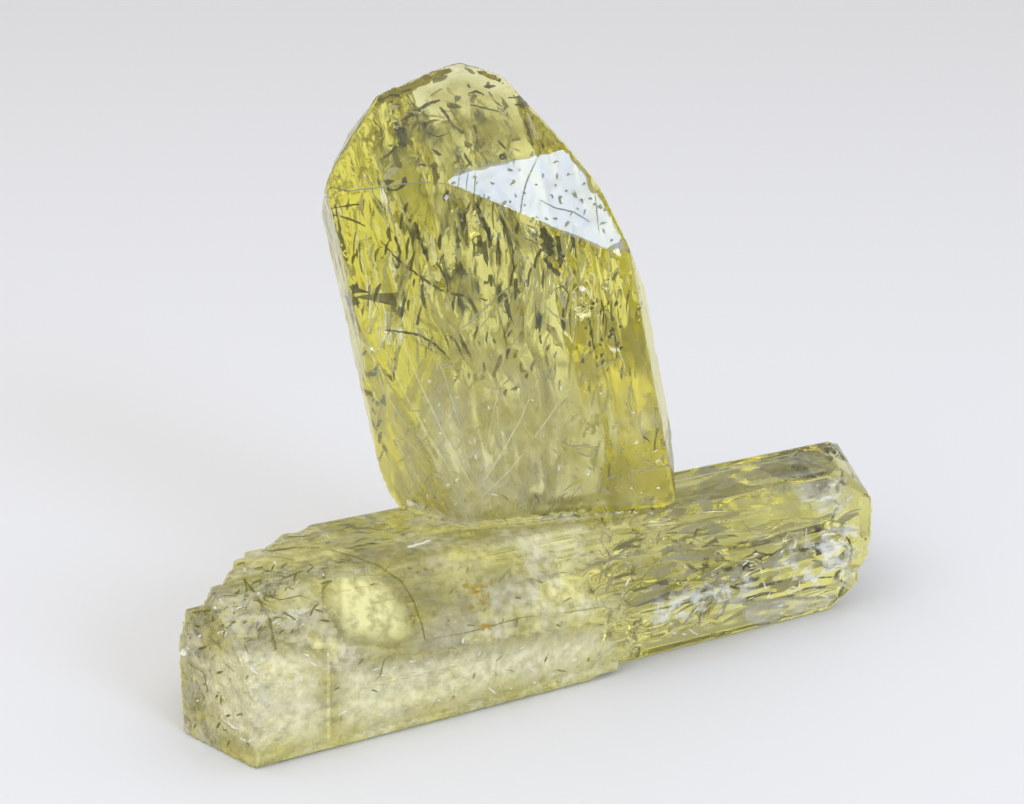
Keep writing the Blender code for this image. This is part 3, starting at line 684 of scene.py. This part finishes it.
def floor_material():
    """Plain pale surface."""
    values = {"Base Color": (0.80, 0.80, 0.81, 1.0), "Roughness": 0.55, "Specular IOR Level": 0.2}
    return new_material("pale_floor", values)[0]


def wandering(tree, place, scale, seed, detail, distortion=0.0):
    """Noise of a stretched scale along a sheet."""
    stretch = add_node(tree, "ShaderNodeMapping", {"Scale": scale, "Location": (seed, seed, seed)})
    tree.links.new(place, stretch.inputs["Vector"])
    pattern = add_node(tree, "ShaderNodeTexNoise", {"Scale": 1.0, "Detail": detail, "Distortion": distortion})
    tree.links.new(stretch.outputs["Vector"], pattern.inputs["Vector"])
    return pattern.outputs["Fac"]


def ranged(tree, value, low, high, top):
    """Value spread from 0 at low to top at high."""
    level = add_node(tree, "ShaderNodeMapRange", {"From Min": low, "From Max": high, "To Max": top})
    tree.links.new(value, level.inputs["Value"])
    return level.outputs["Result"]


def two_tone(tree, share, low, high):
    """Colour between two, by a share."""
    mixed = tree.nodes.new("ShaderNodeMix")
    mixed.data_type = "RGBA"
    mixed.inputs[6].default_value = (*low, 1.0)
    mixed.inputs[7].default_value = (*high, 1.0)
    tree.links.new(share, mixed.inputs[0])
    return mixed.outputs[2]


def faded(tree, values):
    """Product of values and of the mesh's own fade."""
    edge = tree.nodes.new("ShaderNodeAttribute")
    edge.attribute_name = "fade"
    cover = edge.outputs["Fac"]
    for value in values:
        product = tree.nodes.new("ShaderNodeMath")
        product.operation = "MULTIPLY"
        tree.links.new(value, product.inputs[0])
        tree.links.new(cover, product.inputs[1])
        cover = product.outputs["Value"]
    return cover


def part_clear(tree, shader, glow, colour, cover):
    """Surface that is body where it covers and clear elsewhere, and passes some light through its body."""
    join = tree.links.new
    through = tree.nodes.new("ShaderNodeBsdfTranslucent")
    body = add_node(tree, "ShaderNodeMixShader", {"Fac": glow})
    join(shader.outputs["BSDF"], body.inputs[1])
    join(through.outputs["BSDF"], body.inputs[2])
    if colour is None:
        set_inputs(through, {"Color": shader.inputs["Base Color"].default_value})
    else:
        join(colour, shader.inputs["Base Color"])
        join(colour, through.inputs["Color"])
    clear = tree.nodes.new("ShaderNodeBsdfTransparent")
    mix = tree.nodes.new("ShaderNodeMixShader")
    join(cover, mix.inputs["Fac"])
    join(clear.outputs["BSDF"], mix.inputs[1])
    join(body.outputs["Shader"], mix.inputs[2])
    join(mix.outputs["Shader"], tree.nodes["Material Output"].inputs["Surface"])


def veil_material(name, low, high, dark_share, cover, threshold, softness, scale, distortion):
    """Thin sheet inside the crystal, of two colours, whose cover wanders along its growth."""
    made, tree, shader = new_material(name, {"Roughness": 0.9, "Specular IOR Level": 0.0})
    place = tree.nodes.new("ShaderNodeUVMap").outputs["UV"]
    tone = wandering(tree, place, scale, 4.0, 2.0)
    share = ranged(tree, tone, dark_share - 0.06, dark_share + 0.06, 1.0)
    level = wandering(tree, place, scale, 0.0, 4.0, distortion)
    level = ranged(tree, level, threshold - softness, threshold + softness, cover)
    part_clear(tree, shader, 0.5, two_tone(tree, share, low, high), faded(tree, [level]))
    return made


def frost_material():
    """Pale cloudy film in patches and fine grain."""
    made, tree, shader = new_material("cloudy_film", {"Roughness": 0.7, "Specular IOR Level": 0.1})
    place = tree.nodes.new("ShaderNodeTexCoord").outputs["Object"]
    share = ranged(tree, wandering(tree, place, (700, 700, 700), 4.0, 2.0), 0.4, 0.6, 1.0)
    blotches = ranged(tree, wandering(tree, place, (420, 420, 420), 0.0, 2.0), 0.05, 0.70, 1.0)
    grain = ranged(tree, wandering(tree, place, (3000, 3000, 3000), 2.0, 2.0), 0.12, 0.66, 0.95)
    colour = two_tone(tree, share, (0.99, 0.92, 0.40), (0.995, 0.965, 0.72))
    part_clear(tree, shader, 0.12, colour, faded(tree, [blotches, grain]))
    return made


def sheet_material(name, colour, cover, glow, grain=None):
    """Small solid flaw or film of dark or pale mineral, part of it see-through."""
    values = {"Base Color": (*colour, 1.0), "Roughness": 0.6, "Specular IOR Level": 0.0}
    made, tree, shader = new_material(name, values)
    if grain:
        low, high, size = grain
        place = tree.nodes.new("ShaderNodeTexCoord").outputs["Object"]
        spread = ranged(tree, wandering(tree, place, (size, size, size), 0.0, 3.0), low, high, cover)
        level = faded(tree, [spread])
    else:
        even = tree.nodes.new("ShaderNodeValue")
        even.outputs["Value"].default_value = cover
        level = even.outputs["Value"]
    part_clear(tree, shader, glow, None, level)
    return made


# Inclusions

def wavy_sheet(grid, centre, long, wide, size, rng, bend, ragged):
    """Grid of points of a wavy, ragged-edged sheet: its places, and how far in from its edge each is."""
    rows, columns = grid
    normal = long.cross(wide).normalized()
    phase = [rng.uniform(0.0, math.tau) for _ in range(4)]
    turns = [rng.uniform(0.6, 1.9) for _ in range(2)]
    places = []
    inside = []
    for row in range(rows + 1):
        across = 2.0 * row / rows - 1.0
        for column in range(columns + 1):
            along = 2.0 * column / columns - 1.0
            x = along * (1.0 + ragged * math.sin(3.1 * across + phase[0]))
            narrow = math.sqrt(max(0.0, 1.0 - 0.9 * along**2))
            y = across * (1.0 + ragged * math.sin(4.3 * along + phase[1])) * narrow
            lift = math.sin(turns[0] * 2.2 * along + phase[2])
            lift += 0.6 * math.sin(turns[1] * 3.0 * across + phase[3])
            places.append(centre + long * (x * size[0]) + wide * (y * size[1]) + normal * (bend * lift))
            inside.append(min(1.0 - abs(along), 1.0 - abs(across)))
    return places, inside


def add_gap(bm, grid, places, inside, thickness, normal):
    """Closed lens of air between two wavy walls, its faces looking into the gap."""
    rows, columns = grid
    walls = []
    for side in (-1.0, 1.0):
        shift = [normal * (side * thickness * min(1.0, 3.0 * depth + 0.02)) for depth in inside]
        walls.append([bm.verts.new(place + move) for place, move in zip(places, shift)])
    stride = columns + 1
    for row in range(rows):
        for column in range(columns):
            a = row * stride + column
            corners = (a, a + 1, a + 1 + stride, a + stride)
            bm.faces.new([walls[0][i] for i in corners])
            bm.faces.new([walls[1][i] for i in reversed(corners)])
    rim = list(range(stride)) + [stride * (r + 1) + columns for r in range(rows)]
    rim += [stride * rows + columns - 1 - c for c in range(columns)]
    rim += [stride * (rows - 1 - r) for r in range(rows - 1)]
    for here, there in zip(rim, rim[1:] + rim[:1]):
        bm.faces.new((walls[0][there], walls[0][here], walls[1][here], walls[1][there]))


def finish_sheets(name, bm, material):
    """Piece inside the crystal, its points in the lying frame's millimetres."""
    mesh = mesh_of(name, bm)
    mesh.transform(lying_to_world())
    mesh.shade_smooth()
    finish(name, mesh, material)


def tree_of(made):
    """Search tree of a mesh object's faces, in metres."""
    mesh = made.data
    return BVHTree.FromPolygons([v.co for v in mesh.vertices], [f.vertices for f in mesh.polygons])


def depth_inside(tree, place):
    """How deep a point in metres lies under the surface, in millimetres, less than 0 outside."""
    nearest, normal, _, distance = tree.find_nearest(place)
    if (place - nearest).dot(normal) > 0.0:
        return -distance / MM
    return distance / MM


def turned_pair(along, towards, rng, spread):
    """Two directions across each other near the given ones, turned at random by up to spread degrees."""
    turn = Matrix.Rotation(math.radians(rng.uniform(-spread, spread)), 3, along)
    tip = Matrix.Rotation(math.radians(rng.uniform(-spread, spread) * 0.35), 3, towards)
    long = (tip @ along).normalized()
    wide = (turn @ along.cross(towards)).normalized()
    return long, (wide - wide.dot(long) * long).normalized()


def cracks(tree):
    """Open cracks: thin wavy air gaps that flash bright or dark, longest along each crystal."""
    rng = random.Random(SEEDS["cracks"])
    axis, _, front = standing_axes()
    u_axis = Vector((1.0, 0.0, 0.0))
    to_world = lying_to_world()
    bm = bmesh.new()
    for low, high, count, long_size, wide_size, crystal in CRACK_ZONES:
        for _ in range(count):
            centre = Vector([rng.uniform(a, b) for a, b in zip(low, high)])
            if crystal == "standing":
                long, wide = turned_pair(axis, front, rng, 75.0)
            else:
                long, wide = turned_pair(u_axis, Vector((0.0, -0.8, 0.6)), rng, 75.0)
            size = (rng.uniform(*long_size), rng.uniform(*wide_size))
            bend = 0.12 * size[1] + 0.03
            places, inside = wavy_sheet(CRACK_GRID, centre, long, wide, size, rng, bend, 0.25)
            if min(depth_inside(tree, to_world @ place) for place in places[::5]) > 0.12:
                add_gap(bm, CRACK_GRID, places, inside, 0.012, long.cross(wide).normalized())
    finish_sheets("cracks", bm, gap_material())


def veils(tree):
    """Cloudy and streaked sheets grown into the crystals, one behind another."""
    rng = random.Random(SEEDS["veils"])
    axis, across, front = standing_axes()
    ways = {"axis": axis, "across": across, "front": front}
    ways["u"] = Vector((1, 0, 0))
    ways["up"] = Vector((0.0, 0.55, 0.83))
    for kind in VEIL_KINDS:
        bm = bmesh.new()
        for centre, along, beside, size, strength in VEILS[kind]:
            long = ways[along]
            wide = (ways[beside] - ways[beside].dot(long) * long).normalized()
            places, inside = wavy_sheet(VEIL_GRID, Vector(centre), long, wide, size, rng, 0.3, 0.06)
            add_veil(bm, tree, places, inside, size, strength, rng)
        finish_sheets(kind + "_veils", bm, veil_material(kind + "_veil", *VEIL_KINDS[kind]))


def add_veil(bm, tree, places, inside, size, strength, rng):
    """Sheet of faces that fades toward its edge and toward the surface, with places along it as its UV."""
    uv = bm.loops.layers.uv.get("UVMap") or bm.loops.layers.uv.new("UVMap")
    fade = fade_layer(bm)
    to_world = lying_to_world()
    depths = [depth_inside(tree, to_world @ place) for place in places]
    verts = [bm.verts.new(place) for place in places]
    for vert, edge, depth in zip(verts, inside, depths):
        vert[fade] = strength * min(1.0, 2.5 * edge) * min(1.0, max(0.0, 3.0 * depth - 0.2))
    offset = (rng.uniform(0, 9), rng.uniform(0, 9))
    rows, columns = VEIL_GRID
    steps = ((0, 0), (1, 0), (1, 1), (0, 1))
    for row in range(rows):
        for column in range(columns):
            corners = [(row + r) * (columns + 1) + column + c for c, r in steps]
            if min(depths[i] for i in corners) < 0.07:
                continue
            face = bm.faces.new([verts[i] for i in corners])
            for loop, (c, r) in zip(face.loops, steps):
                along = (column + c) / (columns / 2) * size[0]
                side = (row + r) / (rows / 2) * size[1]
                loop[uv].uv = (side + offset[0], along + offset[1])
    bmesh.ops.delete(bm, geom=[vert for vert in bm.verts if not vert.link_faces], context="VERTS")


def sight(x, y):
    """Direction from the camera through a place in the photo's frame."""
    width, height = PHOTO_SIZE
    pixel = SENSOR_WIDTH / width
    seen = Vector(((x - width / 2.0) * pixel, (height / 2.0 - y) * pixel, -LENS))
    return (Matrix.Rotation(math.radians(CAMERA_PITCH), 3, "X") @ seen).normalized()


def bend_in(ray, normal):
    """Direction that a ray takes inside the crystal."""
    cosine = -ray.dot(normal)
    inner = math.sqrt(1.0 - (1.0 - cosine**2) / IOR**2)
    return (ray / IOR + (cosine / IOR - inner) * normal).normalized()


def under(tree, x, y, depth):
    """Point that deep in the crystal which shows at a place in the photo's frame, and the sight line."""
    camera_at = Vector(CAMERA_AT)
    hit, normal, _, _ = tree.ray_cast(camera_at, sight(x, y))
    if hit is None:
        return None, None
    ray = bend_in(sight(x, y), normal)
    return hit + ray * depth * MM, ray


def add_ribbon(bm, points, towards, width, rng):
    """Ragged ribbon along points that faces roughly one way, in metres."""
    steps = []
    for here, there in zip(points[:-1], points[1:]):
        parts = max(2, int((there - here).length / (0.11 * MM)))
        steps += [here.lerp(there, part / parts) for part in range(parts)]
    steps.append(points[-1])
    tilt = rng.uniform(-0.7, 0.7)
    rows = []
    for number, place in enumerate(steps):
        ahead = steps[min(number + 1, len(steps) - 1)] - steps[max(number - 1, 0)]
        side = ahead.cross(towards).normalized()
        side = (Matrix.Rotation(tilt, 3, ahead.normalized()) @ side).normalized()
        share = number / (len(steps) - 1)
        taper = math.sin(math.pi * min(1.0, max(0.0, 0.08 + 0.84 * share))) ** 0.5
        left = side * width * MM * taper * rng.uniform(0.35, 1.35)
        right = side * width * MM * taper * rng.uniform(0.35, 1.35)
        lift = towards * width * MM * rng.uniform(-0.4, 0.4)
        rows.append([bm.verts.new(place + move) for move in (-left, lift, right)])
    for here, there in zip(rows[:-1], rows[1:]):
        bm.faces.new((here[0], here[1], there[1], there[0]))
        bm.faces.new((here[1], here[2], there[2], there[1]))


def pairs(row):
    """A row of numbers as points."""
    return list(zip(row[::2], row[1::2]))


def finish_flaws(name, bm, kind):
    """One piece of small flaws of one kind, its points in metres."""
    finish(name, mesh_of(name, bm), sheet_material(name, *FLAW_KINDS[kind]))


def flaws(tree):
    """The flaws placed one by one, as one piece for each kind."""
    rng = random.Random(SEEDS["flaws"])
    for kind in sorted(FLAWS):
        bm = bmesh.new()
        for depth, width, *run in FLAWS[kind]:
            places = [under(tree, x, y, depth * rng.uniform(0.9, 1.3)) for x, y in pairs(run)]
            places = [place for place in places if place[0] is not None]
            if len(places) > 1:
                add_ribbon(bm, [place[0] for place in places], places[0][1], width, rng)
        finish_flaws(kind + "_flaws", bm, kind)


def flecks(tree):
    """Small flakes scattered through parts of the crystals, the yellow ones painted glints, as one piece for
    each kind.
    """
    rng = random.Random(SEEDS["flecks"])
    for kind in sorted(FLECKS):
        bm = bmesh.new()
        for box, count, depths, longs, wides, angle, stray in FLECKS[kind]:
            for _ in range(count):
                centre = (rng.uniform(box[0], box[2]), rng.uniform(box[1], box[3]))
                turn = math.radians(angle + rng.uniform(-stray, stray))
                depth = rng.uniform(*depths)
                long = rng.uniform(*longs)
                wide = rng.uniform(*wides)
                add_fleck(bm, tree, centre, depth, long, wide, turn, rng)
        finish_flaws(kind + "_flecks", bm, kind)


def within(outline, x, y):
    """Whether a place in the photo's frame lies inside an outline."""
    odd = False
    for (ax, ay), (bx, by) in zip(outline, outline[1:] + outline[:1]):
        if (ay > y) != (by > y) and x < (bx - ax) * (y - ay) / (by - ay) + ax:
            odd = not odd
    return odd


def to_outline(outline, x, y):
    """Distance from a place to an outline, in pixels."""
    at = Vector((x, y))
    shortest = 999.0
    for start, end in zip(outline, outline[1:] + outline[:1]):
        near, share = geometry.intersect_point_line(at, Vector(start), Vector(end))
        near = Vector(start).lerp(Vector(end), min(1.0, max(0.0, share)))
        shortest = min(shortest, (near - at).length)
    return shortest


def patches(tree):
    """Films inside outlines in the photo's frame, most of them a hair outside the surface."""
    for kind in sorted(PATCHES):
        bm = bmesh.new()
        for depth, *outline in PATCHES[kind]:
            add_patch(bm, tree, depth, pairs(outline), PATCH_FADE.get(kind, WIDE_FADE))
        finish_flaws(kind + "_patches", bm, kind)


def add_patch(bm, tree, depth, outline, fade_width):
    """Grid of small faces that fills an outline at one depth and fades toward it."""
    fade = fade_layer(bm)
    low = [min(point[i] for point in outline) for i in range(2)]
    high = [max(point[i] for point in outline) for i in range(2)]
    verts = {}
    for column in range(int((high[0] - low[0]) / PATCH_STEP) + 1):
        for row in range(int((high[1] - low[1]) / PATCH_STEP) + 1):
            x = low[0] + column * PATCH_STEP
            y = low[1] + row * PATCH_STEP
            place, _ = under(tree, x, y, depth)
            if within(outline, x, y) and place is not None:
                verts[column, row] = bm.verts.new(place)
                verts[column, row][fade] = min(1.0, to_outline(outline, x, y) / fade_width)
    for column, row in list(verts):
        corners = [(column, row), (column + 1, row), (column + 1, row + 1), (column, row + 1)]
        if all(corner in verts for corner in corners):
            bm.faces.new([verts[corner] for corner in corners])


def add_fleck(bm, tree, centre, depth, long, wide, turn, rng):
    """Irregular flake with a slight bend, left out where it would reach out of the crystal."""
    places = []
    for number in range(FLECK_CORNERS):
        around = math.tau * number / FLECK_CORNERS
        reach = rng.uniform(0.55, 1.25)
        x = long * reach * math.cos(around)
        y = wide * reach * math.sin(around) + 0.12 * x * math.cos(around)
        right = centre[0] + x * math.cos(turn) + y * math.sin(turn)
        down = centre[1] - x * math.sin(turn) + y * math.cos(turn)
        place, _ = under(tree, right, down, depth)
        if place is None:
            return
        places.append(place)
    middle = sum(places, Vector()) / len(places)
    if max((place - middle).length for place in places) > 0.09 * MM * max(long, 3.0):
        return
    if depth > 0.0 and min(depth_inside(tree, place) for place in places[::3]) < 0.04:
        return
    hub = bm.verts.new(middle)
    verts = [bm.verts.new(place) for place in places]
    for here, there in zip(verts, verts[1:] + verts[:1]):
        bm.faces.new((hub, here, there))


# Floor, light and camera

def floor():
    """A wide pale disc just under the specimen."""
    bm = bmesh.new()
    bmesh.ops.create_circle(bm, cap_ends=True, segments=96, radius=2.5)
    mesh = mesh_of("floor", bm)
    mesh.materials.append(floor_material())
    made = link(bpy.data.objects.new("floor", mesh))
    made.location = (0.0, 0.0, -0.00003)


def area_light(name, direction, size, energy, colour):
    """Round soft light that looks back at the specimen."""
    lamp = bpy.data.lights.new(name, "AREA")
    lamp.shape = "DISK"
    lamp.size = size
    lamp.energy = energy
    lamp.color = colour
    made = link(bpy.data.objects.new(name, lamp))
    made.location = Vector(direction).normalized() * LAMP_DISTANCE
    made.rotation_euler = Vector(direction).to_track_quat("Z", "Y").to_euler()


def studio():
    """Soft surroundings: light overhead, a pale horizon and a dim band between, all dimmer at the front."""
    world = bpy.data.worlds.new("studio")
    bpy.context.scene.world = world
    world.use_nodes = True
    tree = world.node_tree
    join = tree.links.new
    place = tree.nodes.new("ShaderNodeTexCoord")
    split = tree.nodes.new("ShaderNodeSeparateXYZ")
    join(place.outputs["Generated"], split.inputs["Vector"])
    ramp = tree.nodes.new("ShaderNodeValToRGB")
    spots = ramp.color_ramp.elements
    for number, (spot, level) in enumerate(SKY):
        element = spots[number] if number < 2 else spots.new(spot)
        element.position = spot
        element.color = (level, level, level * 1.01, 1.0)
    rise = tree.nodes.new("ShaderNodeMath")
    rise.operation = "MULTIPLY_ADD"
    set_inputs(rise, {1: 0.5, 2: 0.5})
    join(split.outputs["Z"], rise.inputs[0])
    join(rise.outputs["Value"], ramp.inputs["Fac"])
    side = tree.nodes.new("ShaderNodeMapRange")
    side.interpolation_type = "SMOOTHSTEP"
    set_inputs(side, {"From Min": -0.8, "From Max": 0.0, "To Min": 0.9, "To Max": 1.0})
    join(split.outputs["Y"], side.inputs["Value"])
    dim = tree.nodes.new("ShaderNodeVectorMath")
    dim.operation = "SCALE"
    join(ramp.outputs["Color"], dim.inputs["Vector"])
    join(side.outputs["Result"], dim.inputs["Scale"])
    back = tree.nodes["Background"]
    join(dim.outputs["Vector"], back.inputs["Color"])
    back.inputs["Strength"].default_value = SKY_STRENGTH
    for lamp in LAMPS:
        area_light(*lamp)


def camera():
    """The photograph's view."""
    data = bpy.data.cameras.new("camera")
    data.lens = LENS
    data.sensor_width = SENSOR_WIDTH
    data.clip_start = 0.002
    data.clip_end = 10.0
    made = link(bpy.data.objects.new("camera", data))
    made.location = CAMERA_AT
    made.rotation_euler = (math.radians(CAMERA_PITCH), 0.0, 0.0)
    bpy.context.scene.camera = made


def light_paths():
    """Enough bounces for clear crystal."""
    cycles = bpy.context.scene.cycles
    cycles.max_bounces = 7
    cycles.transmission_bounces = 10
    cycles.transparent_max_bounces = 12
    cycles.glossy_bounces = 8
    cycles.diffuse_bounces = 3
    cycles.sample_clamp_indirect = 6.0
    bpy.context.scene.view_settings.view_transform = "Standard"


camera()
light_paths()
surface = crystal_surface()
surface_tree = tree_of(surface)
frost(surface)
cracks(surface_tree)
veils(surface_tree)
flaws(surface_tree)
flecks(surface_tree)
patches(surface_tree)
floor()
studio()
